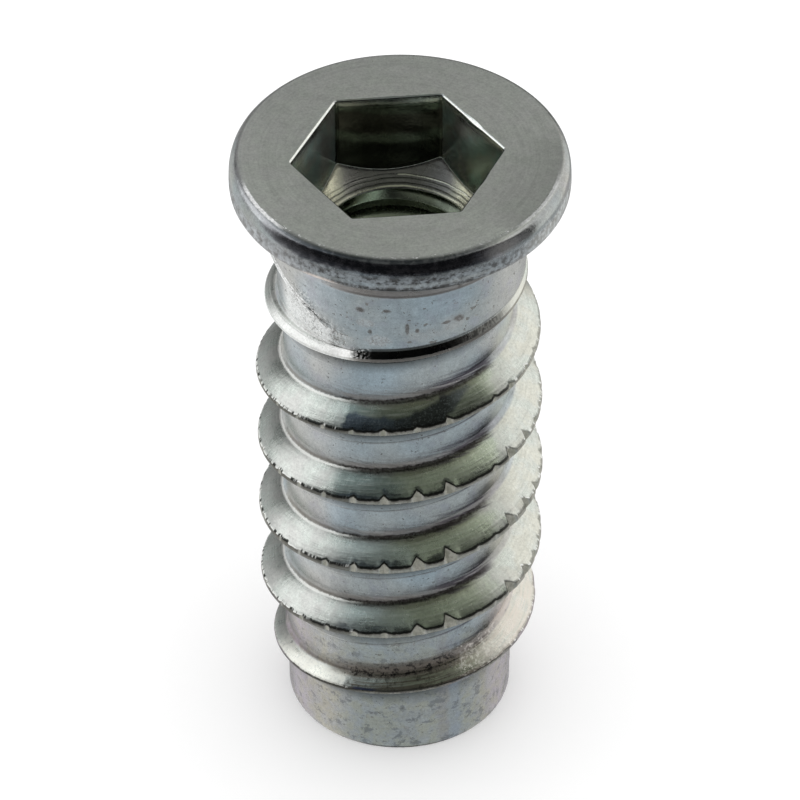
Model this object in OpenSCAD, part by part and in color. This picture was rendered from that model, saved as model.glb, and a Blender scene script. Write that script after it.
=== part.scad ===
// Hex-drive threaded insert with a flange, for wood.
// Stands on its lower end: z = 0 is the lower end face, the flange is on top.

/* [Body] */
// Overall length, lower end face to top of the flange, mm
length = 30.7; // [24:0.1:50]
// Shank diameter between the turns of the outer thread and at the pilot end, mm
core_d = 10.15; // [9.6:0.05:10.6]
// Diameter of the unthreaded collar under the flange, mm
collar_d = 11.2; // [10.8:0.1:12]
// Depth below the flange top at which the collar stops, mm
collar_end = 4.0; // [3:0.1:6]
// Diameter of the collar where it widens into the flange, mm
neck_d = 12.1; // [12:0.05:12.4]
// Height over which the collar widens towards the flange, mm
neck_h = 1.7; // [1:0.1:1.9]
// Break of the lower outer edge, mm
foot_break = 0.15; // [0.05:0.05:0.6]

/* [Flange] */
// Flange diameter at its widest, mm
flange_d = 14.8; // [14:0.1:18]
// Diameter of the flat top face, mm
flange_face_d = 14.15; // [13.2:0.05:14.5]
// Flange thickness, mm
flange_h = 1.6; // [1.4:0.05:2.5]

/* [Outer thread] */
// Crest diameter of the outer thread, mm
crest_d = 12.75; // [12.2:0.05:13.6]
// Pitch of the outer thread, mm
pitch = 4.05; // [3.6:0.05:4.6]
// Width of the narrow land on the crest, mm
land = 0.2; // [0.1:0.05:0.4]
// Height along the axis of each flank, mm
flank = 0.97; // [0.7:0.01:1.2]
// Full-height turns of the outer thread
full_turns = 3.3; // [2:0.1:3.3]
// Facets round one turn
facets = 32; // [24:4:48]

/* [Drive socket] */
// Width across the flats of the hexagon, mm
across_flats = 8; // [7.8:0.05:8.2]
// Depth of the hexagon at its corners, mm
socket_depth = 3.45; // [3:0.05:5]
// Included angle of the socket floor, degrees
floor_angle = 100; // [90:1:130]
// Turn of the hexagon about the axis, degrees
socket_turn = 5.4; // [0:0.1:30]
// Diameter of the countersink at the socket mouth, mm
mouth_d = 8.36; // [8.25:0.02:8.6]

/* [Bore] */
// Bore diameter, the minor diameter of the inner thread, mm
bore_d = 6.65; // [6.4:0.05:7]
// Diameter of the lead-in at the lower end of the bore, mm
lead_in_d = 8.2; // [7.2:0.1:9]

/* [Hidden] */
$fn = 96;
hex_r = across_flats / sqrt(3);
floor_drop = (hex_r - bore_d / 2) / tan(floor_angle / 2);
// Depth of the crest line below the flange top at the front (-Y), first full turn
first_crest = 10.5;
// Turns are counted along the helix from that point, positive going down
t_start = -1.55;
t_fade = full_turns;
t_end = full_turns + 1.4;
steps = ceil((t_end - t_start) * facets);
inner_r = core_d / 2 - 0.5;
neck_l = min(neck_h, collar_end - flange_h - 0.2);

function mix(a, b, k) = a + (b - a) * k;
function clamp(x) = min(1, max(0, x));
function ease(x) = let (k = clamp(x)) k * k * (3 - 2 * k);

// Crest radius along the helix: a low lip on the collar, then the full ridge,
// then the run-out into the pilot
function crest_r(t) =
    t < -0.95 ? mix(collar_d / 2 + 0.02, collar_d / 2 + 0.2, ease((t - t_start) / 0.5))
  : t < 0.2 ? mix(collar_d / 2 + 0.2, crest_d / 2, ease((t + 0.95) / 1.15))
  : t < t_fade ? crest_d / 2
  : mix(crest_d / 2, core_d / 2 - 0.05, pow((t - t_fade) / (t_end - t_fade), 2));

// How much of the full flank the ridge has at its two ends
function body(t) = clamp(min(0.25 + (t - t_start) / 0.3, 0.3 + (t_end - t) / 0.9));

// One cross-section of the ridge, seven points as [radius, z]
function section(t) =
    let (zc = length - first_crest - pitch * t,
         k = body(t),
         up = flank * k,
         skirt = 1 - ease((t + 0.9) / 0.3),
         top = mix(zc + land / 2 + up + 0.02, length - collar_end + 0.4, skirt),
         shoulder_r = mix(core_d / 2 - 0.1, collar_d / 2 - 0.02, skirt),
         shoulder_z = zc + land / 2 + min(up, mix(up, 0.45, skirt)))
    [[inner_r, max(top, shoulder_z + 0.02)],
     [shoulder_r, max(top, shoulder_z + 0.02)],
     [shoulder_r, shoulder_z],
     [crest_r(t), zc + land / 2],
     [crest_r(t), zc - land / 2],
     [core_d / 2 - 0.1, zc - land / 2 - flank * k],
     [inner_r, zc - land / 2 - flank * k - 0.02]];

// Outer thread ridge: right-handed, so it climbs going anticlockwise from above
module ridge() {
    m = 7;
    rings = [for (i = [0:steps])
        let (t = t_start + (t_end - t_start) * i / steps, a = -90 - 360 * t)
        for (p = section(t)) [p[0] * cos(a), p[0] * sin(a), p[1]]];
    sides = [for (i = [0:steps - 1], j = [0:m - 1])
        let (a = i * m + j, b = i * m + (j + 1) % m, c = a + m, d = b + m)
        each [[a, b, d], [a, d, c]]];
    polyhedron(points = rings,
               faces = concat([[for (j = [m - 1:-1:0]) j]], sides,
                              [[for (j = [0:m - 1]) steps * m + j]]),
               convexity = 8);
}

// Flange with a crisp top edge, a barrel-shaped rim and a rounded lower edge
module flange() {
    r = flange_d / 2;
    rf = flange_face_d / 2;
    translate([0, 0, length - flange_h])
        rotate_extrude()
            polygon([[0, 0], [r - 0.3, 0], [r - 0.11, 0.08], [r - 0.03, 0.25],
                     [r, 0.5], [r, 0.8], [r - 0.03, flange_h - 0.45],
                     [mix(r, rf, 0.4), flange_h - 0.18],
                     [rf, flange_h], [0, flange_h]]);
}

// Shank: core with the pilot end, and the collar, which widens a little under the flange
module shank() {
    rotate_extrude()
        polygon([[0, 0], [core_d / 2 - foot_break, 0], [core_d / 2, foot_break],
                 [core_d / 2, length - collar_end],
                 [collar_d / 2, length - collar_end],
                 [collar_d / 2, length - flange_h - neck_l],
                 [mix(collar_d, neck_d, 0.35) / 2, length - flange_h - neck_l * 0.6],
                 [mix(collar_d, neck_d, 0.75) / 2, length - flange_h - neck_l * 0.2],
                 [neck_d / 2, length - flange_h],
                 [neck_d / 2, length - flange_h + 0.3],
                 [0, length - flange_h + 0.3]]);
}

// Hexagon socket with a conical floor and a lightly countersunk mouth
module socket() {
    floor_z = length - socket_depth;
    intersection() {
        rotate([0, 0, socket_turn])
            translate([0, 0, floor_z - floor_drop - 0.5])
                cylinder(h = socket_depth + floor_drop + 1.5, r = hex_r, $fn = 6);
        rotate_extrude()
            polygon([[0, floor_z - floor_drop], [bore_d / 2, floor_z - floor_drop],
                     [hex_r + 1, floor_z + 1 / tan(floor_angle / 2)],
                     [hex_r + 1, length + 1], [0, length + 1]]);
    }
    translate([0, 0, length - mouth_d / 2 + 2])
        cylinder(h = mouth_d / 2 - 1, r1 = 2, r2 = mouth_d / 2 + 1);
}

// Bore through the shank, with a lead-in at the lower end
module bore() {
    translate([0, 0, -1]) cylinder(h = length - 1, d = bore_d);
    translate([0, 0, -1])
        cylinder(h = (lead_in_d - bore_d) / 2 + 1,
                 r1 = lead_in_d / 2 + 1, r2 = bore_d / 2);
}

// The insert, one solid piece of plated steel
module insert() {
    color([0.66, 0.69, 0.70])
    difference() {
        union() {
            shank();
            flange();
            ridge();
        }
        socket();
        bore();
    }
}

insert();
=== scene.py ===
import math
import bpy
import numpy as np
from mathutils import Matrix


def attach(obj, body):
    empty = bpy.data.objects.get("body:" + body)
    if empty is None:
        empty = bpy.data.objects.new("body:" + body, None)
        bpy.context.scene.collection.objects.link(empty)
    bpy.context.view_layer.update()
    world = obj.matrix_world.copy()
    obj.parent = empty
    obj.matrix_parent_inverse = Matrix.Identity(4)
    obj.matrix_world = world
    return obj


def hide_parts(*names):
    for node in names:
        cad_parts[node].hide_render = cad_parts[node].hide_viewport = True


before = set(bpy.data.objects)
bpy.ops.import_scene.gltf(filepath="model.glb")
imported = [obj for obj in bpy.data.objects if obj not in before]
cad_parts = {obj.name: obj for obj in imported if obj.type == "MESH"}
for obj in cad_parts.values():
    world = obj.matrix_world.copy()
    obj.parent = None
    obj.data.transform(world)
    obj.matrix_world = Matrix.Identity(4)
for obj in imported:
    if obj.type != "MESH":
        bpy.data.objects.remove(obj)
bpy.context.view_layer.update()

# ---------------------------------------------------------------- helpers
MM = 0.001
TOP = 30.7


def smooth_table(xs, ys):
    """Monotone cubic through the points (no overshoot)."""
    x, y = np.array(xs, float), np.array(ys, float)
    h = np.diff(x); d = np.diff(y) / h
    m = np.zeros_like(x)
    for i in range(1, len(x) - 1):
        if d[i - 1] * d[i] > 0:
            w1, w2 = 2 * h[i] + h[i - 1], h[i] + 2 * h[i - 1]
            m[i] = (w1 + w2) / (w1 / d[i - 1] + w2 / d[i])
    m[0], m[-1] = d[0], d[-1]

    def f(t):
        t = min(max(t, x[0]), x[-1])
        i = min(int(np.searchsorted(x, t, "right")) - 1, len(x) - 2)
        s = (t - x[i]) / h[i]
        return ((2 * s**3 - 3 * s**2 + 1) * y[i] + (s**3 - 2 * s**2 + s) * h[i] * m[i]
                + (-2 * s**3 + 3 * s**2) * y[i + 1] + (s**3 - s**2) * h[i] * m[i + 1])
    return f


def wobble(x, seed, freq):
    """Smooth repeatable noise in -1..1 along one coordinate."""
    x = x * freq
    i = math.floor(x); f = x - i; f = f * f * (3 - 2 * f)

    def h(n):
        v = math.sin(n * 127.1 + seed * 311.7) * 43758.5453
        return 2 * (v - math.floor(v)) - 1
    return h(i) * (1 - f) + h(i + 1) * f


def deg(a):
    return math.radians(a)


# ---------------------------------------------------------------- outer thread
CORE = 5.075
COLLAR = 5.6
SHANK_X = -0.11          # the shank's axis against the flange's, in x
HEX_SHIFT = -0.11        # and the socket's and bore's
COLS = 400               # columns round the outside
T0, T1 = -1.95, 4.86     # turns along the helix, 0 at the front, positive going down

# height of the middle of the crest land, below the flange top
crest_z = smooth_table(
    [-1.96, -1.93, -1.90, -1.88, -1.86, -1.80, -1.5, -1.2, -1.0, -0.75, -0.5, -0.25, 0, 0.25, 0.5, 0.75, 1, 1.25, 1.5,
     1.75, 2, 2.25, 2.5, 2.75, 3, 3.25, 3.5, 3.75, 4, 4.25, 4.9],
    [-5.85, -5.76, -5.50, -5.20, -4.98, -4.50, -5.25, -6.08, -6.69, -7.62, -8.55, -9.44, -10.42, -11.72, -12.62, -13.47, -14.42,
     -15.68, -16.58, -17.45, -18.48, -19.69, -20.66, -21.56, -22.42, -23.70, -24.72, -25.58, -26.36, -27.56, -30.0])
crest_r = smooth_table(
    [-1.96, -1.30, -1.2, -1.0, -0.75, -0.5, -0.25, 0, 0.25, 0.75, 1.25, 1.75, 2.25, 2.75, 3.25, 3.5, 3.75, 4.0, 4.25, 4.5, 4.7, 4.8, 4.9],
    [5.60, 5.60, 5.74, 5.81, 5.87, 6.08, 6.24, 6.31, 6.35, 6.35, 6.33, 6.41, 6.34, 6.40, 6.32, 6.27, 6.19, 5.93, 5.75, 5.42, 5.14, 5.08, 5.075])
land_w = smooth_table([-1.96, -1.9, -1.4, -1.2, -1, 0, 1, 2, 3, 3.6, 4, 4.9],
                      [0.03, 0.10, 0.10, 0.05, 0.06, 0.095, 0.11, 0.17, 0.14, 0.10, 0.07, 0.03])
groove = smooth_table([-0.95, -0.90, -0.8, -0.6, -0.4], [0, 0.22, 0.52, 0.86, 1.0])
shoulder_h = smooth_table([-1.05, -0.99, -0.95, -0.9, -0.8, -0.7, -0.6, -0.5, 0, 3, 4, 4.9],
                          [0.22, 0.22, 0.23, 0.25, 0.26, 0.22, 0.12, 0.06, 0.055, 0.05, 0.04, 0.02])
shoulder_a = smooth_table([-1.05, -0.98, -0.93, -0.9, -0.8, -0.65, -0.5, 0], [16, 17, 30, 42, 44, 30, 18, 16])
shoulder_b = smooth_table([-1.05, -0.98, -0.93, -0.9, -0.8, -0.65, -0.5, 0, 3.4, 4], [41, 42, 50, 56, 56, 50, 43, 43, 43, 48])
flank_a = smooth_table([-1.05, -0.9, -0.75, -0.5, 0, 3.4, 4], [45, 60, 58, 46, 44, 45, 50])
riser = smooth_table([-0.96, -0.92, -0.88, -0.78, -0.66, -0.6], [0, 0.05, 0.09, 0.09, 0.04, 0])

# nicks in the crest: azimuth of the deepest point, half widths left and right, depth on turns 0 to 3
NICKS = [(-58, 1.2, 1.8, (.03, .05, .04, .03)), (-45, 1.5, 1.5, (.05, .06, .05, .03)), (-31.5, 1.8, 1.4, (.07, .07, .08, .04)),
         (-19.3, 2.0, 1.8, (.09, .13, .12, .05)), (-6.3, 2.2, 2.4, (.13, .20, .20, .06)), (6.9, 2.6, 3.2, (.12, .28, .31, .22)),
         (19.6, 1.5, 4.2, (.22, .34, .40, .34)), (33, 1.2, 1.6, (.04, .02, .03, .02)), (42.5, 2.4, 2.0, (.10, .08, .04, .03)),
         (51.6, 1.8, 3.8, (.14, .32, .34, .30)), (62.6, 1.7, 3.0, (.15, .30, .30, .26)), (72.5, 1.6, 2.2, (.10, .14, .18, .12)),
         (82, 1.4, 2.0, (.07, .10, .12, .08)), (92, 1.5, 2.2, (.06, .10, .10, .08)), (103, 1.6, 2.4, (.06, .12, .12, .08)),
         (115, 1.5, 2.4, (.06, .14, .12, .1)), (127, 1.6, 2.4, (.06, .14, .16, .1)), (140, 1.6, 2.4, (.05, .14, .14, .1)),
         (153, 1.6, 2.2, (.05, .12, .14, .1)), (166, 1.6, 2.2, (.04, .12, .12, .1)), (179, 1.6, 2.2, (.03, .1, .1, .08)),
         (-168, 1.6, 2.0, (.03, .08, .1, .06)), (-154, 1.5, 2.0, (.03, .07, .07, .05)), (-139, 1.5, 1.8, (.02, .06, .06, .05)),
         (-124, 1.5, 1.8, (.02, .05, .06, .04)), (-108, 1.5, 1.6, (.02, .05, .05, .04)), (-92, 1.4, 1.6, (.02, .04, .05, .03)),
         (-75, 1.4, 1.6, (.03, .05, .04, .03))]


def base_r(t):
    """Radius of the groove above the ridge at t."""
    return COLLAR - (COLLAR - CORE) * (0 if t <= -0.95 else groove(t))


def edge_burr(t):
    """The torn upper edge of the groove where the thread runs in."""
    if not -1.93 < t < -1.3:
        return 0.0
    return min(1, (t + 1.93) * 20) * max(0, min(1, (-1.3 - t) * 4)) * (0.022 + 0.035 * max(0.0, wobble(t * 360, 4.4, 0.35)))


class Flank:
    """The upper side of the ridge: z against radius, from the crest in to the groove."""

    def __init__(self, t):
        self.rc = crest_r(t) + edge_burr(t); self.rb = base_r(t)
        zc = crest_z(t); w = land_w(t)
        self.zu, self.zl = zc + w / 2, zc - w / 2
        H = max(self.rc - self.rb, 0.0)
        hs = min(shoulder_h(t), H if t < -0.95 else 0.75 * H)
        rest = H - hs
        hf = min(0.115, 0.26 * rest)
        self.H, self.hs, self.hf, self.hm = H, hs, hf, rest - hf
        self.n0, self.n1 = shoulder_a(t), shoulder_b(t)
        self.f1, self.f2 = flank_a(t), 63.0
        self.r1 = self.rc - hs            # shoulder / flank
        self.r2 = self.rb + hf            # flank / fillet
        self.eps = min(0.02, 0.07 * self.hm)
        self.step = riser(t) * min(1.0, self.hm / 0.1) if -0.96 < t < -0.6 else 0.0
        self.z1 = self.zu + self.arc_z(hs, self.n0, self.n1, hs) + self.step
        self.z2 = self.z1 + self.arc_z(self.hm, self.f1, self.f2, self.hm)
        self.z3 = self.z2 + (hf / (1 - math.cos(deg(45)))) * math.sin(deg(45))

    @staticmethod
    def arc_z(h, a, b, x):
        """Rise of a convex arc whose normal turns from a to b while it goes h inwards, after x of it."""
        if h < 1e-6:
            return 0.0
        rho = h / (math.cos(deg(a)) - math.cos(deg(b)))
        c = math.cos(deg(a)) - x / rho
        return rho * (math.sqrt(max(0, 1 - c * c)) - math.sin(deg(a)))

    def z(self, r):
        if r >= self.rc:
            return self.zu
        if r >= self.r1:
            return self.zu + self.arc_z(self.hs, self.n0, self.n1, self.rc - r)
        if self.step and r >= self.r1 - self.eps:
            return self.z1 - self.step * (r - self.r1 + self.eps) / self.eps * 0.999
        if r >= self.r2:
            return self.z1 + self.arc_z(self.hm, self.f1, self.f2, self.r1 - r)
        if self.hf < 1e-6:
            return self.z2
        rho = self.hf / (1 - math.cos(deg(45)))
        c = 1 - (max(r, self.rb) - self.rb) / rho
        return self.z3 - rho * math.sqrt(max(0, 1 - c * c))


COL0, COL_STEP = 7.1, 0.9
TURN_NICKS = smooth_table([-0.7, -0.4, -0.2], [0, 0.5, 1])


def nick(phi, t):
    """How deep the crest is cut here, and how high the burr beside the cut stands. phi is degrees from the front."""
    turn = int(min(3, max(0, round(t + phi / 360.0))))
    cut = burr = 0.0
    if t > -0.7:
        fade = TURN_NICKS(t) * max(0.0, min(1.0, (3.9 - t) * 2.2))
        for c, wl, wr, depth in NICKS:
            off = (phi - (COL0 + COL_STEP * round((c - COL0) / COL_STEP)) + 180) % 360 - 180
            if abs(off) > 9:
                continue
            x = (-off / wl if off < 0 else off / wr) / (0.68, 0.88, 0.95, 1.0)[turn]
            d = depth[turn] * fade * (0.62, 0.85, 0.95, 1.0)[turn]
            cut = max(cut, d * max(0.0, 1 - x ** 1.25))
            burr = max(burr, 0.22 * d * math.exp(-((x - 1.12) / 0.28) ** 2))
        turns = phi + turn * 360
        ragged = 0.010 + 0.022 * max(0.0, math.cos(deg(phi + 38))) ** 2
        cut += ragged * abs(wobble(turns, 1.7, 0.55)) ** 1.5 * min(1, (t + 0.7) * 2) * max(0, min(1, (4.5 - t)))
        if t > 3.4:      # the run-out's crest is torn in places
            cut += 0.13 * max(0, wobble(phi, 12.3, 0.16) - 0.3) * min(1, (t - 3.4) * 4) * max(0, min(1, 4.3 - t))
    return cut, burr


def ridge_rows(t, phi, col):
    """Rows of one pass of the ridge in one column: (row id, r, z, hs, flank, fillet) from top to bottom."""
    F = Flank(t)
    H = F.rc - base_r(t)
    cut, burr = nick(phi, t)
    cut = min(cut, 0.6 * max(0, H))
    rn = F.rc - cut
    low_r = base_r(t + 1) if t + 1 < 90 else CORE
    rows = []
    # nominal radii from the groove out to the crest
    fil = [F.rb + F.hf * k for k in (0.0, 0.03, 0.13, 0.32, 0.62, 1.0)]
    flk = [F.r2 + F.hm * k for k in (0.08, 0.34, 0.66)] + [F.r1 - F.eps, F.r1]
    sho = [F.r1 + F.hs * k for k in (0.3, 0.62, 0.88)]
    radii = fil + flk + sho
    n = len(radii)
    squeeze = min(0.02, 0.9 * max(rn - F.rb, 0) / (n + 3))
    b = min(0.03, 0.25 * max(rn - F.rb, 0))
    z_cap = F.z3 + 0.0
    for i, r in enumerate(radii):
        rr = min(r, rn - b * 0.8 - squeeze * (n - i))
        rr = max(rr, F.rb)
        z = F.z(rr)
        if i > 8 and burr > 0:
            z += burr * (1 - min(1.0, (rn - rr) / 0.16))
        if i == 0:
            z = F.z3 + 0.02
        rows.append([i, rr, z])
    # bevel, land, lower bevel
    ze = F.z(rn - b * 0.8) + burr
    rows.append([n, rn - b * 0.8, ze])
    rows.append([n + 1, rn - b * 0.15, F.z(rn) - b * 0.55 + burr * 0.8])
    rows.append([n + 2, rn, F.z(rn) - b * 1.3])
    slope = 0.76
    rl = F.rc - cut * 0.30                    # the nick runs out towards the lower edge
    zlow = F.zl - (F.rc - rl) * slope
    rows.append([n + 3, rl, zlow + b * 0.6])
    rows.append([n + 4, rl - b * 0.5, zlow - b * 0.3])
    # lower flank and its fillet
    Hl = max(rl - b * 0.5 - low_r, 0.0)
    hf = min(0.12, 0.3 * Hl)
    rho = hf / (1 - math.cos(deg(52)))
    z0 = zlow - b * 0.3
    z2 = z0 - (Hl - hf) * slope
    rows.append([n + 5, rl - b * 0.5 - (Hl - hf) * 0.5, z0 - (Hl - hf) * slope * 0.5])
    rows.append([n + 6, low_r + hf, z2])
    rows.append([n + 7, low_r + hf * 0.25, z2 - rho * (math.sin(deg(52)) - math.sin(deg(25)))])
    rows.append([n + 8, low_r, z2 - rho * math.sin(deg(52))])
    # keep the rows in order even where the ridge has faded away
    for i in range(len(rows) - 2, -1, -1):
        if rows[i][2] < rows[i + 1][2] + 0.012:
            rows[i][2] = rows[i + 1][2] + 0.012
    for q in rows:      # how far in from the crest's upper edge, and how far out from the end of the fillet
        i, r, z = q
        q.append(max(rn - r, 0.0) if i < n else (-max(rows[n][2] - z, 0.0) if i <= n + 4 else -1.0))
        q.append(r - F.r2 if i < n + 3 else 3.0)
        q.append(min(1.0, H / 0.22) if t > 2 else 1.0)
    return rows, F, cut


RIM = [  # flange profile below the crisp edge: radius, depth
    (6.93, 0.0), (6.98, 0.005), (7.03, 0.021), (7.08, 0.047), (7.13, 0.083), (7.185, 0.135), (7.255, 0.22), (7.312, 0.335), (7.350, 0.47), (7.378, 0.64),
    (7.388, 0.84), (7.393, 1.05), (7.391, 1.22), (7.375, 1.35), (7.32, 1.46), (7.24, 1.545), (7.14, 1.59), (7.0, 1.605),
    (6.62, 1.61), (6.34, 1.66), (6.16, 1.82), (6.03, 2.08), (5.92, 2.38), (5.80, 2.72), (5.695, 3.04), (5.618, 3.30), (5.602, 3.38), (5.60, 3.46)]
COLLAR_Z = [-3.75, -4.1, -4.6, -5.1, -5.6]
PILOT_Z = [-25.0, -26.0, -27.0, -28.0, -28.8, -29.4, -29.9, -30.3]
FOOT = [(5.075, -30.50), (5.068, -30.58), (5.03, -30.655), (4.96, -30.69), (4.88, -30.70)]


def outer_columns():
    cols = []
    for j in range(COLS):
        phi = 7.1 + 360.0 * j / COLS            # degrees from the front
        tau = -phi / 360.0
        rows = []                                # (key, r, z)
        passes = []
        n = math.ceil(T0 - tau)
        while tau + n < T1:
            rr, F, cut = ridge_rows(tau + n, phi if phi <= 187.1 else phi - 360, j)
            passes.append((n, rr, F, tau + n, cut))
            n += 1
        for i, (r, d) in enumerate(RIM):
            rows.append((10000 + i, r, -d, 0, 9.0, 3.0, -2.0, 1.0))
        first_top = passes[0][1][0][2]
        for i, z in enumerate(COLLAR_Z):
            if z > first_top + 0.12:
                rows.append((10100 + i, COLLAR, z, 0, 9.0, 3.0, -2.0, 1.0))
        rows.append((10150, COLLAR, first_top + 0.06, 0, 9.0, 3.0, -2.0, 1.0))     # keeps the wall above flat in shading
        for k, (n, rr, F, t, cut) in enumerate(passes):
            for i, r, z, ec, ef, w in rr:
                rows.append((n * 100 + i, r, z, t + (1000 if cut > 0.03 and 14 <= i <= 18 else 0), ec, ef, t, w))
            if k + 1 < len(passes):
                za, zb = rr[-1][2], passes[k + 1][1][0][2]
                ra, rb = rr[-1][1], passes[k + 1][1][0][1]
                for q in (0.33, 0.66):
                    rows.append((n * 100 + 60 + int(q * 10), ra + (rb - ra) * q, za + (zb - za) * q, t, 9.0, -1.0, t, 1.0))
        last = rows[-1][2]
        for i, z in enumerate(PILOT_Z):
            if z < last - 0.15:
                rows.append((20000 + i, CORE, z, 5, 9.0, 3.0, 5.0, 1.0))
        for i, (r, z) in enumerate(FOOT):
            rows.append((20100 + i, r, z, 5, 9.0, 3.0, 5.0, 1.0))
        cols.append((phi, rows))
    return cols


class Builder:
    def __init__(self):
        self.v, self.f, self.tag, self.extra = [], [], [], []

    def add(self, x, y, z, tag="", extra=(9.0, 3.0, 9.0, 1.0)):
        self.v.append((x, y, z)); self.tag.append(tag); self.extra.append(extra); return len(self.v) - 1

    def tri(self, a, b, c):
        if a != b and b != c and a != c:
            self.f.append((a, b, c))

    def quad(self, a, b, c, d):
        """a b over d c, split on the shorter diagonal."""
        p = [np.array(self.v[i]) for i in (a, b, c, d)]
        if np.sum((p[0] - p[2]) ** 2) <= np.sum((p[1] - p[3]) ** 2):
            self.tri(a, b, c); self.tri(a, c, d)
        else:
            self.tri(a, b, d); self.tri(b, c, d)

    def stitch(self, A, B, flip):
        """A and B are columns [(key, vertex)], both from top to bottom."""
        where = {k: i for i, (k, _) in enumerate(B)}
        pairs = [(i, where[k]) for i, (k, _) in enumerate(A) if k in where]
        for (i0, j0), (i1, j1) in zip(pairs, pairs[1:]):
            i, j = i0, j0
            if i1 - i0 == 1 and j1 - j0 == 1:
                q = (A[i][1], B[j][1], B[j + 1][1], A[i + 1][1])
                self.quad(*(q if flip else (q[0], q[3], q[2], q[1])))
                continue
            while i < i1 or j < j1:
                zi = self.v[A[i + 1][1]][2] if i < i1 else -1e9
                zj = self.v[B[j + 1][1]][2] if j < j1 else -1e9
                if j >= j1 or (i < i1 and zi >= zj):
                    t = (A[i][1], B[j][1], A[i + 1][1]); i += 1
                else:
                    t = (A[i][1], B[j][1], B[j + 1][1]); j += 1
                self.tri(*(t if flip else (t[0], t[2], t[1])))

    def ring(self, A, B, angle, flip):
        """Closed loops A and B (vertex lists, both anticlockwise), joined by angle."""
        a = [(angle(i), i) for i in A]; b = [(angle(i), i) for i in B]
        a.sort(); b.sort()
        i = j = 0; na, nb = len(a), len(b)
        while i < na or j < nb:
            ai = a[(i + 1) % na][0] + 360 * ((i + 1) // na)
            bj = b[(j + 1) % nb][0] + 360 * ((j + 1) // nb)
            if j >= nb or (i < na and ai <= bj):
                t = (a[i % na][1], b[j % nb][1], a[(i + 1) % na][1]); i += 1
            else:
                t = (a[i % na][1], b[j % nb][1], b[(j + 1) % nb][1]); j += 1
            self.tri(*(t if flip else (t[0], t[2], t[1])))


# ---------------------------------------------------------------- socket and bore
AF = 8.0
HEX_R = AF / math.sqrt(3)
TURN = 5.4
DEPTH = 3.45
MOUTH_R, MOUTH_X, MOUTH_Y = 4.07, 0.06, 0.025
EDGE = 0.075             # break round the mouth of the hexagon
BORE = 3.325
ROOT = 3.98
PITCH = 1.25
SLOPE = 1 / math.tan(deg(50))


def hex_radius(a):
    """Radius of the hexagon in direction a (degrees), with a slightly rounded corner."""
    x = (a - TURN) % 60 - 30
    r = (AF / 2) / math.cos(deg(x))
    return min(r, HEX_R - 0.035 + 0.0005 * (30 - abs(x)) ** 2)


def socket_angles():
    out = []
    for s in range(6):
        for k in range(38):
            out.append(TURN + 60 * s + [0, 0.5, 1.1, 2.0][k] if k < 4 else
                       TURN + 60 * s + (2.0 + (k - 3) * (56.0 / 31)) if k <= 34 else
                       TURN + 60 * s + [58.9, 59.5][k - 35] if k < 37 else None)
    return [a % 360 for a in out if a is not None]


def outer_tag(k, r, t):
    """Which kind of surface a row of the outside belongs to."""
    if k >= 20000:
        return "core"
    if k >= 10100:
        return "collar"
    if k >= 10000:
        return "rim" if k - 10000 < 18 else "neck"
    i = k % 100
    if t > 900:
        return "nick"
    if t < -1.3:
        return "collar"
    if i <= 5:
        return "fillet"
    if i <= 13:
        return "flank"
    if i <= 18:
        return "land"
    if i <= 22:
        return "lower"
    return "collar" if r > 5.45 and t < -0.9 else "core"


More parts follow.
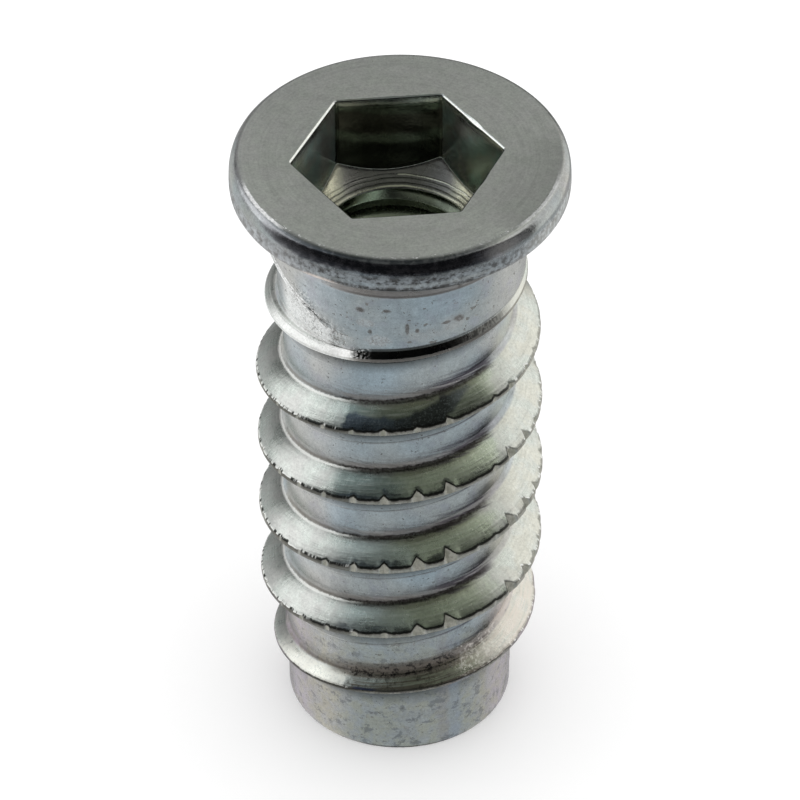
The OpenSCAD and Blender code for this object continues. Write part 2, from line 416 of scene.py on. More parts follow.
def build_mesh():
    B = Builder()
    # outside
    cols = outer_columns()
    made = []
    for phi, rows in cols:
        a = deg(-90 + phi)
        c, s = math.cos(a), math.sin(a)
        made.append([(k, B.add(r * c + shank_shift(r, z), r * s, z, outer_tag(k, r, t), (ec, ef, tt, w)))
                     for k, r, z, t, ec, ef, tt, w in rows])
    for j in range(COLS):
        A = made[j]
        if j + 1 < COLS:
            N = made[j + 1]
        else:
            N = [(k if k >= 9000 else k - 100, v) for k, v in made[0]]
            N = [(k, v) for k, v in N]
            A = [(k if k >= 9000 else k - 200, v) for k, v in A]
            N = [(k if k >= 9000 else k + 0, v) for k, v in N]
        B.stitch(A, N, False)
    top_loop = [m[0][1] for m in made]
    foot_loop = [m[-1][1] for m in made]
    # socket
    ang = sorted(socket_angles())
    loops = None
    mouth_pts = []
    layers = []
    for a in ang:
        ca, sa = math.cos(deg(a)), math.sin(deg(a))
        rh = hex_radius(a)
        # radius of the offset countersink circle in this direction, seen from the socket's axis
        along = MOUTH_X * ca + MOUTH_Y * sa
        across = MOUTH_X * sa - MOUTH_Y * ca
        rm = max(along + math.sqrt(max(0, MOUTH_R**2 - across**2)), rh + EDGE)

        def mouth(r):
            return -max((MOUTH_R - math.hypot(r * ca - MOUTH_X, r * sa - MOUTH_Y)) * 0.85, (rh + EDGE - r) * 0.9, 0.0)
        col = [(rm + 0.012, 0.0), (rm, -0.010)]
        for k in (0.2, 0.55, 0.9):
            r = rm + (rh - rm) * k
            col.append((r, min(mouth(r), -0.01)))
        col.append((rh, mouth(rh) - 0.015))
        zf = -(DEPTH + (HEX_R - rh) * SLOPE)
        ztop = col[-1][1]
        for k in (0.12, 0.3, 0.5, 0.7, 0.86, 0.96):
            col.append((rh, ztop + (zf + 0.05 - ztop) * k))
        col.append((rh, zf + 0.045))
        col.append((rh - 0.006, zf + 0.018))
        col.append((rh - 0.02, zf - 0.018 * 0.6))
        for k in (0.12, 0.3, 0.5, 0.7, 0.85, 0.94):
            r = rh - 0.02 + (BORE + 0.03 - rh + 0.02) * k
            col.append((r, -(DEPTH + (HEX_R - r) * SLOPE)))
        col.append((BORE + 0.03, -(DEPTH + (HEX_R - BORE - 0.03) * SLOPE)))
        col.append((BORE + 0.004, -(DEPTH + (HEX_R - BORE - 0.004) * SLOPE) - 0.008))
        names = [""] + ["mouth"] * 5 + ["wall"] * 8 + ["cone"] * 9
        layers.append([B.add(r * ca + HEX_SHIFT, r * sa, z, names[i]) for i, (r, z) in enumerate(col)])
    n = len(layers[0])
    for i in range(len(layers)):
        L0, L1 = layers[i], layers[(i + 1) % len(layers)]
        for k in range(n - 1):
            B.quad(L0[k], L1[k], L1[k + 1], L0[k + 1])
    hole_loop = [l[0] for l in layers]
    cone_loop = [l[-1] for l in layers]
    # bore with its inner thread
    nb = 84
    ztop = -(DEPTH + (HEX_R - BORE) * SLOPE) - 0.03
    zbot = -TOP + 0.775
    bore_cols = []
    for j in range(nb):
        a = 360.0 * j / nb
        rows = [(30000, BORE, ztop)]
        tau = -a / 360.0
        k0 = math.floor((ztop - 0.0) / PITCH) - 1
        q = 0
        k = math.ceil((-ztop) / PITCH - tau - 1)
        while True:
            zc = -(k + tau) * PITCH
            if zc - 0.3 < -TOP + 0.02:
                break
            for f, (r, dz) in enumerate(((BORE, 0.46), (BORE + 0.03, 0.42), (ROOT, 0.06), (ROOT, -0.06),
                                         (BORE + 0.03, -0.42), (BORE, -0.46))):
                z = zc + dz
                if z > ztop - 0.03:
                    continue
                fade = min(1.0, max(0.0, (ztop - z) / 0.3))
                r = BORE + (r - BORE) * fade
                r = max(r, BORE + max(0.0, zbot - z))     # the lead-in at the lower end
                if z > -TOP + 0.03:
                    rows.append((k * 100 + f, r, z))
            k += 1
        rows.append((39000, 4.095, -TOP + 0.008))
        bore_cols.append(rows)
    made_b = []
    for j, rows in enumerate(bore_cols):
        a = deg(360.0 * j / nb)
        made_b.append([(k, B.add(r * math.cos(a) + HEX_SHIFT, r * math.sin(a), z, "bore")) for k, r, z in rows])
    for j in range(nb):
        A = made_b[j]
        N = made_b[j + 1] if j + 1 < nb else [(k if k >= 30000 else k - 100, v) for k, v in made_b[0]]
        if j + 1 == nb:
            A = [(k if k >= 30000 else k - 200, v) for k, v in A]
        B.stitch(A, N, True)
    return B, top_loop, foot_loop, hole_loop, cone_loop, [m[0][1] for m in made_b], [m[-1][1] for m in made_b]


def shank_shift(r, z):
    """The shank was turned a little off the flange's centre."""
    if z > -1.63:
        return 0.0
    return SHANK_X + 0.05 * min(1.0, max(0.0, (r - COLLAR) / 0.8)) * (z < -7)


B, top_loop, foot_loop, hole_loop, cone_loop, bore_top, bore_bot = build_mesh()


def ang_of(cx=0.0):
    def f(i):
        x, y, _ = B.v[i]
        return math.degrees(math.atan2(y, x - cx)) % 360
    return f


B.ring(top_loop, hole_loop, ang_of(), True)
B.ring(cone_loop, bore_top, ang_of(HEX_SHIFT), True)
B.ring(bore_bot, foot_loop, ang_of(), True)

V = np.array(B.v)
mesh = bpy.data.meshes.new("insert_body")
mesh.from_pydata([((x) * MM, (y) * MM, (z + TOP) * MM) for x, y, z in B.v], [], B.f)
mesh.validate()
mesh.update()
body = bpy.data.objects.new("insert_body", mesh)
bpy.context.scene.collection.objects.link(body)

import bmesh
bm = bmesh.new(); bm.from_mesh(mesh)
bmesh.ops.recalc_face_normals(bm, faces=bm.faces)
if bm.calc_volume(signed=True) < 0:
    bmesh.ops.reverse_faces(bm, faces=bm.faces)
bm.to_mesh(mesh)
bad = [e for e in bm.edges if len(e.link_faces) != 2]
print("EDGES open or odd:", len(bad), "of", len(bm.edges), "volume", bm.calc_volume() * 1e9, "tris", len(bm.faces))
for e in bad[:12]:
    print("  bad", [tuple(round(c * 1000, 3) for c in v.co) for v in e.verts], len(e.link_faces))
bm.free()
for p in mesh.polygons:
    p.use_smooth = True
mesh.set_sharp_from_angle(angle=deg(32))
for name in ("fillet", "flank", "land", "lower", "collar", "neck", "rim", "wall", "cone", "bore", "mouth", "nick"):
    layer = mesh.attributes.new("k_" + name, "FLOAT", "POINT")
    layer.data.foreach_set("value", [e[3] if t == name else 0.0 for t, e in zip(B.tag, B.extra)])
for i, name in enumerate(("from_crest", "from_fillet", "turn")):
    layer = mesh.attributes.new(name, "FLOAT", "POINT")
    layer.data.foreach_set("value", [e[i] for e in B.extra])
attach(body, "root"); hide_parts("insert")

# ---------------------------------------------------------------- node helpers
class Sock:
    """A node output that can be calculated with."""

    def __init__(self, net, s):
        self.net, self.s = net, s

    def __add__(self, o): return self.net.math("ADD", self, o)
    def __radd__(self, o): return self.net.math("ADD", o, self)
    def __sub__(self, o): return self.net.math("SUBTRACT", self, o)
    def __rsub__(self, o): return self.net.math("SUBTRACT", o, self)
    def __mul__(self, o): return self.net.math("MULTIPLY", self, o)
    def __rmul__(self, o): return self.net.math("MULTIPLY", o, self)
    def __truediv__(self, o): return self.net.math("DIVIDE", self, o)


class Net:
    def __init__(self, tree):
        self.tree = tree

    def new(self, kind, **props):
        n = self.tree.nodes.new(kind)
        for k, v in props.items():
            setattr(n, k, v)
        return n

    def put(self, socket, v):
        if isinstance(v, Sock):
            self.tree.links.new(v.s, socket)
        elif v is not None:
            socket.default_value = v

    def math(self, op, a, b=None, c=None, clamp=False):
        n = self.new("ShaderNodeMath", operation=op)
        for i, v in enumerate((a, b, c)):
            self.put(n.inputs[i], v)
        out = Sock(self, n.outputs[0])
        return self.math("MAXIMUM", self.math("MINIMUM", out, 1.0), 0.0) if clamp else out

    def sep(self, v):
        n = self.new("ShaderNodeSeparateXYZ"); self.put(n.inputs[0], v)
        return [Sock(self, o) for o in n.outputs]

    def comb(self, x, y, z):
        n = self.new("ShaderNodeCombineXYZ")
        for i, v in enumerate((x, y, z)):
            self.put(n.inputs[i], v)
        return Sock(self, n.outputs[0])

    def step(self, x, a, b, c=0.0, d=1.0):
        """c below a, d above b, smooth between."""
        n = self.new("ShaderNodeMapRange", interpolation_type="SMOOTHSTEP", clamp=False)
        for i, v in enumerate((x, a, b, c, d)):
            self.put(n.inputs[i], v)
        return Sock(self, n.outputs[0])

    def band(self, x, a, b, c, d):
        """0 up to a, 1 from b to c, 0 from d."""
        return self.step(x, a, b) * self.step(x, c, d, 1.0, 0.0)

    def noise(self, v, scale, detail=2.0, rough=0.5, distortion=0.0, dims="3D"):
        n = self.new("ShaderNodeTexNoise", noise_dimensions=dims)
        if dims == "1D":
            self.put(n.inputs["W"], v)
        else:
            self.put(n.inputs["Vector"], v)
        n.inputs["Scale"].default_value = scale
        n.inputs["Detail"].default_value = detail
        n.inputs["Roughness"].default_value = rough
        n.inputs["Distortion"].default_value = distortion
        return Sock(self, n.outputs["Fac"])

    def cells(self, v, scale, feature="F1", rnd=1.0):
        n = self.new("ShaderNodeTexVoronoi", feature=feature)
        self.put(n.inputs["Vector"], v)
        n.inputs["Scale"].default_value = scale
        n.inputs["Randomness"].default_value = rnd
        return Sock(self, n.outputs["Distance"])

    def colour(self, c):
        n = self.new("ShaderNodeRGB"); n.outputs[0].default_value = (*c, 1)
        return Sock(self, n.outputs[0])

    def mix(self, f, a, b, mode="MIX"):
        n = self.new("ShaderNodeMix", data_type="RGBA", blend_type=mode, clamp_factor=False)
        self.put(n.inputs["Factor"], f)
        for name, v in (("A", a), ("B", b)):
            sock = [i for i in n.inputs if i.name == name and i.type == "RGBA"][0]
            self.put(sock, (*v, 1) if isinstance(v, tuple) else v)
        return Sock(self, [o for o in n.outputs if o.type == "RGBA"][0])

    def attr(self, name):
        n = self.new("ShaderNodeAttribute", attribute_type="GEOMETRY", attribute_name=name)
        return Sock(self, n.outputs["Fac"])


# ---------------------------------------------------------------- material
mat = bpy.data.materials.new("zinc_steel_look"); mat.use_nodes = True
mesh.materials.append(mat)
nt = mat.node_tree
bsdf = next(n for n in nt.nodes if n.type == "BSDF_PRINCIPLED")
bsdf.inputs["Metallic"].default_value = 1.0


def zinc(M):
    """Zinc plate with its clear chromate film, as it sits on a machined steel part."""
    tc = M.new("ShaderNodeTexCoord")
    scale = M.new("ShaderNodeVectorMath", operation="SCALE")
    M.put(scale.inputs[0], Sock(M, tc.outputs["Object"])); scale.inputs["Scale"].default_value = 1000.0
    P = Sock(M, scale.outputs[0])                     # millimetres
    x, y, z = M.sep(P)
    xs = x - SHANK_X
    r = M.math("SQRT", xs * xs + y * y)
    c, s_ = xs / r, y / r                             # cosine and sine of the angle round the axis
    front = s_ * -1.0                                 # 1 at the front, -1 behind
    phi = M.math("ARCTAN2", xs, y * -1.0) * (180 / math.pi)     # degrees from the front, positive to the right
    k = {n: M.attr("k_" + n) for n in ("fillet", "flank", "land", "lower", "collar", "neck", "rim", "wall", "cone", "bore", "mouth", "nick")}
    ec, ef, turn = M.attr("from_crest"), M.attr("from_fillet"), M.attr("turn")
    top = M.step(z, 30.61, 30.69) * (1.0 - k["mouth"])
    inner = M.math("ADD", k["wall"] + k["cone"], k["bore"], clamp=True)
    outside = 1.0 - M.math("ADD", inner, top + k["mouth"], clamp=True)

    # ---- shared patterns
    big = M.noise(P, 0.22, 2.0, 0.5)
    mid = M.noise(P, 0.9, 3.0, 0.55)
    mottle = M.noise(P, 1.9, 3.0, 0.6)
    grit = M.noise(P, 3.6, 4.0, 0.7)
    grain = M.noise(P, 8.0, 3.0, 0.7)
    fine = M.noise(P, 15.0, 2.0, 0.6)
    round_ = M.noise(M.comb(c * 3.0, s_ * 3.0, z * 5.0), 1.0, 3.0, 0.6)              # streaks along the circumference
    rings = M.noise(M.comb(c * 1.3, s_ * 1.3, r * 9.0), 1.0, 3.0, 0.7)               # turning marks on the faces
    radial = M.noise(M.comb(c * 40.0, s_ * 40.0, r * 1.2), 1.0, 2.0, 0.6)            # scratches across the flanks
    lines = M.noise(M.comb(c * 3.0, s_ * 3.0, r * 9.0), 1.0, 3.0, 0.7)               # lines along the flanks
    upright = M.noise(M.comb(c * 16.0, s_ * 16.0, z * 0.45), 1.0, 3.0, 0.6)          # draw marks down the walls

    def spot(p0, z0, dp, dz, edge=0.35, amount=0.5):
        """A patch round (degrees from the front, height below the top) with a ragged outline."""
        u, v = (phi - p0) * (1.0 / dp), (z - (TOP - z0)) * (1.0 / dz)
        d = M.math("SQRT", u * u + v * v) + (grit - 0.5) * amount * 2.0
        return M.step(d, 1.0 - edge, 1.0 + edge, 1.0, 0.0) * outside

    # ---- colour
    cool, warm, violet = (0.505, 0.55, 0.575), (0.56, 0.55, 0.525), (0.55, 0.53, 0.585)
    col = M.mix(M.step(big, 0.38, 0.62), cool, warm)
    col = M.mix(M.step(mid, 0.50, 0.72) * 0.5, col, violet)
    # the plain lower end is browner
    low_end = M.step(z + (mid - 0.5) * 2.0, 8.6, 4.6)
    col = M.mix(low_end * 0.8, col, M.mix(M.step(mottle, 0.38, 0.62), (0.54, 0.50, 0.405), (0.475, 0.455, 0.43)))
    # flanks: neutral white on the left, teal at the front left, olive at the front, cream on the right; partly the
    # film's own tint, partly painted light and shade, paler at the sides and darker at the front of the first turn
    fl = M.mix(M.step(mid, 0.35, 0.65), (0.62, 0.65, 0.62), (0.66, 0.65, 0.635))
    pass0, pass1 = M.step(turn, 0.50, 0.40) * M.step(turn, -0.6, -0.4), M.band(turn, 0.40, 0.50, 1.40, 1.50)
    teal = M.math("ADD", pass0 * M.band(phi + (grit - 0.5) * 5.0, -24.5, -22.0, 8.0, 20.0), pass1 * M.band(phi + (mid - 0.5) * 8.0, -33.0, -26.0, -2.0, 14.0), clamp=True)
    fl = M.mix(M.band(phi, -34.0, -16.0, 2.0, 20.0) * 0.7, fl, (0.47, 0.56, 0.56))
    fl = M.mix(teal * 0.85, fl, (0.235, 0.29, 0.28))
    fl = M.mix(M.band(phi + (mid - 0.5) * 30.0, -8.0, 12.0, 36.0, 52.0) * 0.85, fl, (0.52, 0.575, 0.445))
    fl = M.mix(pass0 * M.band(phi + (mid - 0.5) * 16.0, -24.0, -6.0, 34.0, 46.0) * 0.85, fl, (0.17, 0.19, 0.15))
    fl = M.mix(M.band(phi, -14.0, 8.0, 30.0, 46.0) * M.step(ef, 0.55, 0.15) * 0.6, fl, (0.50, 0.51, 0.36))
    fl = M.mix(M.step(phi, 48.0, 62.0) * M.step(mid, 0.42, 0.6) * 0.5, fl, (0.72, 0.71, 0.62))
    fl = M.mix(M.step(lines, 0.42, 0.72) * 0.35, fl, (0.74, 0.745, 0.72))
    fl = M.mix(M.step(lines, 0.42, 0.26) * 0.3, fl, (0.36, 0.39, 0.38))
    col = M.mix(k["flank"], col, fl)
    # a dark blue band along the crest at the front left, strongest on the first turn: partly the film's blue tint,
    # partly a painted dark reflection
    sweep = M.noise(M.comb(c * 7.0, s_ * 7.0, r * 3.0 + turn * 4.0), 1.0, 3.0, 0.6)
    reach = M.step(phi, -22.0, -1.0, 0.66, 0.50) + M.step(phi, 0.0, 24.0, 0.0, 0.46) + (sweep - 0.5) * 0.30 + (grain - 0.5) * 0.16
    first = M.step(ec, reach + 0.06, reach - 0.16) * pass0 * M.band(phi + (mid - 0.5) * 8.0 + (grit - 0.5) * 4.0, -23.5, -21.5, 28.0, 38.0)
    first = first * M.step(ec + (grit - 0.5) * 0.12, M.step(phi, 14.0, 34.0, -0.16, 0.62), M.step(phi, 14.0, 34.0, 0.0, 0.85))
    reach = 0.24 + (sweep - 0.5) * 1.1 + (grain - 0.5) * 0.10
    other = M.step(ec, reach, reach - 0.16) * M.step(turn, 0.35, 0.5) * M.step(turn, 4.2, 2.4, 0.25, 0.85)
    other = other * M.band(phi + (mid - 0.5) * 22.0, -29.0, -22.0, 18.0, 36.0)
    crest_tint_and_reflection = k["flank"] * M.step(turn, -0.7, -0.4) * M.math("ADD", first * 0.95, other * 0.85, clamp=True)
    col = M.mix(crest_tint_and_reflection, col, M.mix(M.step(phi + (mottle - 0.5) * 30.0, -8.0, 4.0), (0.10, 0.125, 0.16), (0.045, 0.05, 0.052)))
    col = M.mix(crest_tint_and_reflection * M.step(phi, 20.0, 30.0) * 0.8, col, (0.23, 0.25, 0.265))
    col = M.mix(crest_tint_and_reflection * M.step(fine + (grain - 0.5) * 0.8, 0.52, 0.66) * 0.35, col, (0.26, 0.28, 0.30))
    # painted shade: the first groove's floor is painted black at the front, with a painted highlight (gleam) at its
    # left end
    groove_shade = M.math("MAXIMUM", k["flank"], k["fillet"]) * M.band(z, 23.72, 23.76, 24.93, 24.97) * M.band(phi + (grit - 0.5) * 10.0, -30.0, -23.0, 44.0, 56.0)
    gleam = M.step(phi + (grit - 0.5) * 7.0 + (grain - 0.5) * 5.0, -16.0, -28.0) * groove_shade
    gleam = M.math("MAXIMUM", gleam, M.step(grain + (grit - 0.5) * 0.6, 0.50, 0.57) * M.band(phi, -27.0, -22.0, -15.0, -11.0) * groove_shade * 0.7)
    col = M.mix(groove_shade * 0.96, col, M.mix(M.step(phi + (grain - 0.5) * 40.0, 14.0, 36.0), (0.075, 0.070, 0.065), (0.24, 0.235, 0.225)))
    col = M.mix(gleam, col, (0.80, 0.80, 0.79))
    # fillet: a dark film in front that is partly painted dark reflection, with a painted shade line in the corner,
    # clean on both sides
    streaks = M.noise(M.comb(c * 2.0, s_ * 2.0, z * 8.0), 1.0, 3.0, 0.65)
    on_core = M.math("MAXIMUM", k["fillet"], M.step(ef, -0.75, -0.12) * M.step(ef, 0.3, 0.1)) * M.step(turn, -0.93, -0.88) * outside
    corner = M.math("MAXIMUM", k["fillet"], M.step(ef, 0.06, -0.01) * k["flank"]) * M.step(turn, -0.93, -0.86) * M.step(ef, -0.13, -0.10)
    fillet = corner
    around = M.band(phi + (mid - 0.5) * 10.0, -40.0, -26.0, 42.0, 54.0)
    right_side = M.band(phi, 8.0, 26.0, 46.0, 56.0)
    # the film is partly its own brown tint, partly a painted dark reflection where the fillet faces the dark front
    film = M.mix(M.step(phi, 10.0, 40.0), (0.27, 0.25, 0.235), (0.25, 0.225, 0.26))
    col = M.mix(on_core * around * M.step(streaks, 0.36, 0.60, 0.10, 0.64), col, film)
    col = M.mix(on_core * right_side * M.step(streaks, 0.47, 0.56) * 0.75, col, (0.11, 0.095, 0.12))
    corner_shade_line = M.band(ef + (grit - 0.5) * 0.12, -0.08, -0.03, 0.06, 0.17) * M.step(turn, -0.90, -0.80) * (1.0 - k["land"])
    col = M.mix(corner_shade_line * around * M.step(grain, 0.36, 0.62, 1.0, 0.72) * 0.93, col, (0.07, 0.062, 0.055))
    thin = M.band(ef + (grain - 0.5) * 0.06, -0.10, -0.07, -0.03, 0.0) * M.step(turn, -0.90, -0.80)
    col = M.mix(thin * M.band(phi, -82.0, -66.0, -38.0, -28.0) * 0.6, col, (0.25, 0.22, 0.19))
    # the crest's land
    run_in = M.step(turn, -0.45, -0.75) * M.step(phi, -8.0, -26.0)
    start = M.step(turn, -1.25, -1.35)
    land = M.mix(M.step(grit, 0.4, 0.6), (0.34, 0.33, 0.285), (0.46, 0.445, 0.40))
    left_land = M.band(phi, -78.0, -66.0, -26.0, -12.0) * M.step(turn, -0.5, -0.2)
    land = M.mix(left_land * 0.8, land, (0.17, 0.16, 0.14))
    land = M.mix(run_in, land, (0.80, 0.81, 0.79))
    land = M.mix(start, land, M.mix(M.step(grit + M.step(phi, -54.0, -34.0, 0.12, -0.08), 0.47, 0.54), (0.10, 0.10, 0.095), (0.88, 0.88, 0.87)))
    col = M.mix(k["land"], col, land)
    col = M.mix(k["nick"], col, M.mix(M.step(grit, 0.35, 0.6), (0.36, 0.36, 0.30), (0.52, 0.51, 0.45)))
    col = M.mix(k["land"] * M.band(turn, -1.18, -1.13, -0.93, -0.90) * M.step(phi, -24.0, -16.0), col, (0.30, 0.285, 0.265))
    # painted shade: the ridge's underside, its lower flank and fillet, painted dark
    col = M.mix(k["lower"], col, (0.16, 0.16, 0.155))
    # where the thread runs in: a bright blade, a bright wall above it and a torn white lip
    blade = k["flank"] * M.band(turn + (grit - 0.5) * 0.02, -0.95, -0.938, -0.82, -0.76) * M.step(ec + (grain - 0.5) * 0.10, 0.34, 0.22)
    col = M.mix(blade * 0.9, col, (0.93, 0.935, 0.92))
    trough = M.step(r, 5.575, 5.54) * M.step(r, 5.15, 5.22) * M.band(z, 23.4, 23.6, 40.0, 41.0) * outside * (1.0 - k["flank"]) * M.band(phi, -74.0, -60.0, -34.0, -29.0)
    col = M.mix(trough * M.step(grit, 0.36, 0.48, 0.25, 0.95), col, (0.88, 0.885, 0.87))
    torn_lip = M.band(ec, -0.24, -0.16, 0.03, 0.08) * M.band(turn, -1.97, -1.93, -1.75, -1.62) * outside
    beads = M.step(grain + M.step(phi, -52.0, -40.0, 0.12, -0.03), 0.42, 0.58)
    col = M.mix(torn_lip * M.step(phi, -34.0, -40.0), col, M.mix(beads, (0.22, 0.22, 0.21), (0.90, 0.90, 0.89)))
    # rim: dull, brown and mottled towards its lower half; painted light and shade make the mottle darker at the front
    # and paler on the right, with a lighter band near the lower edge at the front
    rf = M.math("SQRT", x * x + y * y)
    depth = TOP - z
    deep = depth + (grit - 0.5) * 0.25 + (mottle - 0.5) * 0.20
    # the rim's rounded upper shoulder gets a painted dark reflection band, reaching deepest at the front
    limit = M.step(front, 0.50, 0.82, 0.06, 0.50)
    ragged = depth + (grit - 0.5) * 0.30 + (mottle - 0.5) * 0.35
    shoulder = M.step(rf + (grain - 0.5) * 0.06, 6.76, 7.07) * M.step(ragged, limit + 0.26, limit - 0.02) * (1.0 - inner)
    shoulder = shoulder * M.step(z, 29.7, 29.8) * M.step(phi + (mid - 0.5) * 14.0, 40.0, 26.0, 0.45, 1.0)
    low_rim = k["rim"] * M.step(deep, 0.50, 0.80)
    lighter_band = M.band(depth + (grit - 0.5) * 0.14, 1.02, 1.08, 1.16, 1.26) * M.step(front, 0.75, 0.9)
    rim_mottle_and_shade = M.mix(M.step(front, 0.70, 0.93), M.mix(M.step(grit, 0.36, 0.62), M.mix(M.step(phi, 42.0, 54.0), (0.27, 0.26, 0.255), (0.44, 0.43, 0.41)), M.mix(M.step(phi, 42.0, 54.0), (0.47, 0.48, 0.49), (0.62, 0.63, 0.63))),
                 M.mix(M.step(grit + (mottle - 0.5) * 0.6, 0.38, 0.64), (0.13, 0.12, 0.115), (0.40, 0.405, 0.41)))
    col = M.mix(low_rim * (1.0 - lighter_band * 0.55) * M.step(depth, 1.34, 1.44, 1.0, 0.72), col, rim_mottle_and_shade)
    # painted highlight: a pale pink reflection under the rim's lower edge at the front left
    pink_highlight = spot(-27.5, 1.50, 7.0, 0.22, 0.4, 0.3) * 0.75
    col = M.mix(pink_highlight, col, (0.90, 0.78, 0.70))
    # painted highlights on the rim's shoulder at the left and right, made by matte patches
    rim_highlight_patches = spot(38.0, 0.36, 10.0, 0.26, 0.5, 0.9) + spot(-52.0, 0.30, 6.0, 0.12, 0.5, 0.7) * 0.6
    # painted dark reflection: the neck under the flange painted dark brown at the front, and a painted shadow line
    # along its lower step
    neck = k["neck"] * M.step(z, 27.3, 27.5) * M.band(phi, -40.0, -28.0, 36.0, 52.0)
    col = M.mix(neck * 0.86, col, (0.31, 0.28, 0.26))
    ledge_shadow = k["neck"] * M.band(z + (grit - 0.5) * 0.06, 27.36, 27.43, 27.52, 27.60) * M.band(phi, -34.0, -16.0, 34.0, 50.0)
    col = M.mix(ledge_shadow * 0.7, col, (0.14, 0.12, 0.11))
    # inside: the back wall's colour holds painted reflection bands and painted shade, darker further down
    wall = M.mix(M.step(mid, 0.4, 0.6), (0.60, 0.61, 0.55), (0.50, 0.63, 0.58))
    down = TOP - z + (mid - 0.5) * 0.5 + x * x * 0.05
    rear = M.step(y * 0.9956 - (x + 0.11) * 0.0941, 3.88, 3.95)
    shade = M.mix(M.band(down, 0.75, 1.05, 1.9, 2.15), (0.31, 0.33, 0.28), (0.175, 0.155, 0.14))
    shade = M.mix(M.step(down, 2.35, 2.65), shade, (0.085, 0.085, 0.075))
    # painted dark reflection just under the mouth edge at the back, and a painted light line below it
    lens = TOP - z + (x - 0.35) * (x - 0.35) * 0.13
    shade = M.mix(M.step(lens, 0.36, 0.27), shade, (0.04, 0.045, 0.05))
    shade = M.mix(M.band(lens, 0.30, 0.38, 0.40, 0.52) * 0.5, shade, (0.45, 0.50, 0.46))
    lit = M.band(x + (mid - 0.5) * 0.5, -4.35, -4.05, -3.65, -3.3) * M.band(TOP - z, 0.35, 0.65, 0.95, 1.4) + M.band(x + (mid - 0.5) * 0.6, 2.3, 2.7, 3.1, 3.5) * M.band(TOP - z, 0.45, 0.8, 1.05, 1.5)
    lit = lit * k["wall"] * (1.0 - rear)
    wall = M.mix(rear, wall, shade)
    col = M.mix(k["wall"], col, wall)
    col = M.mix(k["mouth"] * (1.0 - rear * 0.9), col, (0.80, 0.81, 0.79))
    col = M.mix(k["cone"], col, M.mix(M.step(front + (mid - 0.5) * 0.3, -0.62, -0.85), (0.50, 0.50, 0.42), (0.225, 0.215, 0.21)))
    ends = k["cone"] * M.step(M.math("ABSOLUTE", x + 0.1), 2.3, 3.0) * M.step(grain, 0.3, 0.5, 0.6, 1.0)
    col = M.mix(ends * 0.7, col, (0.78, 0.75, 0.56))
    bite = r + (mid - 0.5) * 0.10
    col = M.mix(k["cone"] * M.band(bite, 3.755, 3.785, 3.80, 3.83) * M.step(phi + (mid - 0.5) * 300.0, -60.0, 60.0) * 0.8, col, (0.85, 0.83, 0.72))
    col = M.mix(k["cone"] * M.band(bite, 3.36, 3.38, 3.41, 3.44) * 0.75, col, (0.85, 0.83, 0.68))
    col = M.mix(k["cone"] * M.band(bite, 3.44, 3.47, 3.50, 3.54) * 0.7, col, (0.10, 0.10, 0.08))
    col = M.mix(k["cone"] * M.band(bite, 3.62, 3.65, 3.68, 3.71) * 0.6, col, (0.14, 0.14, 0.12))
    col = M.mix(k["bore"], col, (0.33, 0.36, 0.29))
    # painted highlight: a pale line where the wall meets the cone
    seam_highlight = k["wall"] * k["cone"] * 4.0
    col = M.mix(seam_highlight, col, (0.78, 0.80, 0.76))
    col = M.mix(top, col, M.mix(M.step(mid, 0.35, 0.65), (0.655, 0.67, 0.635), (0.675, 0.675, 0.66)))
    # painted dark reflection on the rim's shoulder: near black at the front, grey behind
    rim_band_reflection = M.mix(M.step(front, 0.55, 0.93), (0.36, 0.36, 0.38), M.mix(M.step(grit + (round_ - 0.5) * 0.6, 0.42, 0.62), (0.06, 0.065, 0.078), (0.17, 0.17, 0.19)))
    # painted highlights on the rim's upper edge: specks on its small nicks at the front, and lines on the shoulder at
    # the left and right
    glint = M.band(rf + (grit - 0.5) * 0.08, 6.78, 6.82, 6.90, 6.97) * M.step(grain + (fine - 0.5) * 0.7, 0.62, 0.70) * M.step(front, 0.45, 0.65) * M.step(depth, 0.30, 0.20)
    flare_highlight = M.band(rf + (grit - 0.5) * 0.10, 6.86, 6.91, 7.0, 7.07) * M.step(depth, 0.30, 0.20) * M.math("MAXIMUM", M.band(phi, -78.0, -68.0, -50.0, -42.0), M.band(phi, 44.0, 52.0, 72.0, 84.0) * 0.75)
    col = M.mix(shoulder * M.step(front, -0.5, 0.5, 0.18, 1.0) * M.step(rf, 6.76, 7.05, 0.80, 0.97), col, rim_band_reflection)
    col = M.mix(M.math("MAXIMUM", glint * 0.9, flare_highlight * M.step(grain, 0.34, 0.52, 0.45, 0.95)), col, (0.86, 0.865, 0.87))
